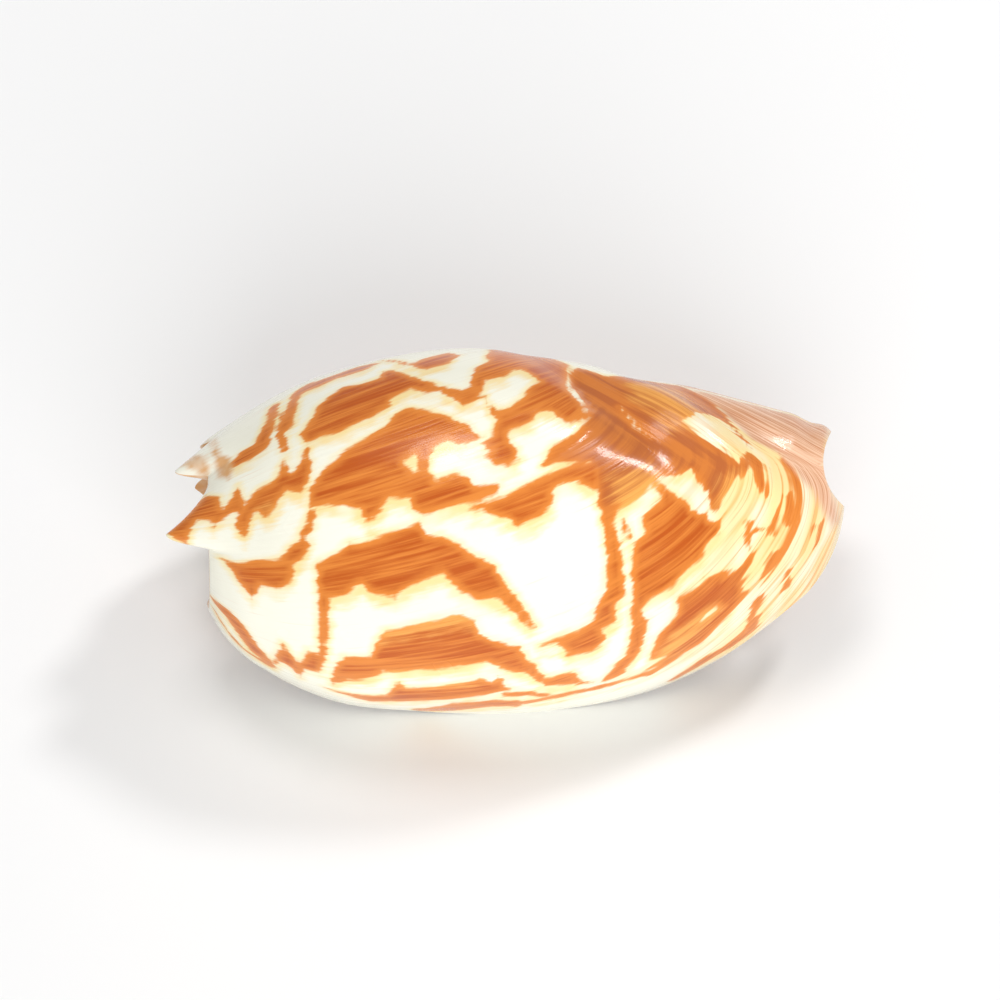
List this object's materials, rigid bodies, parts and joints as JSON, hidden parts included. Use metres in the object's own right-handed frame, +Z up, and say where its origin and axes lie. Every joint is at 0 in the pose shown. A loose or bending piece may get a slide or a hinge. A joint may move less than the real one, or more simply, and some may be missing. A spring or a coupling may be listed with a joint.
{
  "type": "melon shell",
  "caption": "Large marine volute shell, an inflated egg-shaped spiral with a spined crown, a wide aperture, a folded columella and a siphonal notch.",
  "frame": {"origin": "middle of the bounding box's underside, on the surface that the shell rests on", "axes": "+X along the shell from the spined crown to the siphonal notch, +Z up as it lies on its aperture, so the outer lip is on the -Y side"},
  "size_m": [0.166, 0.0862, 0.0747],
  "materials": {
    "shell": "glossy natural shell, cream with orange-brown patches"
  },
  "bodies": {
    "root": {"shell": "shell"}
  },
  "joints": []
}
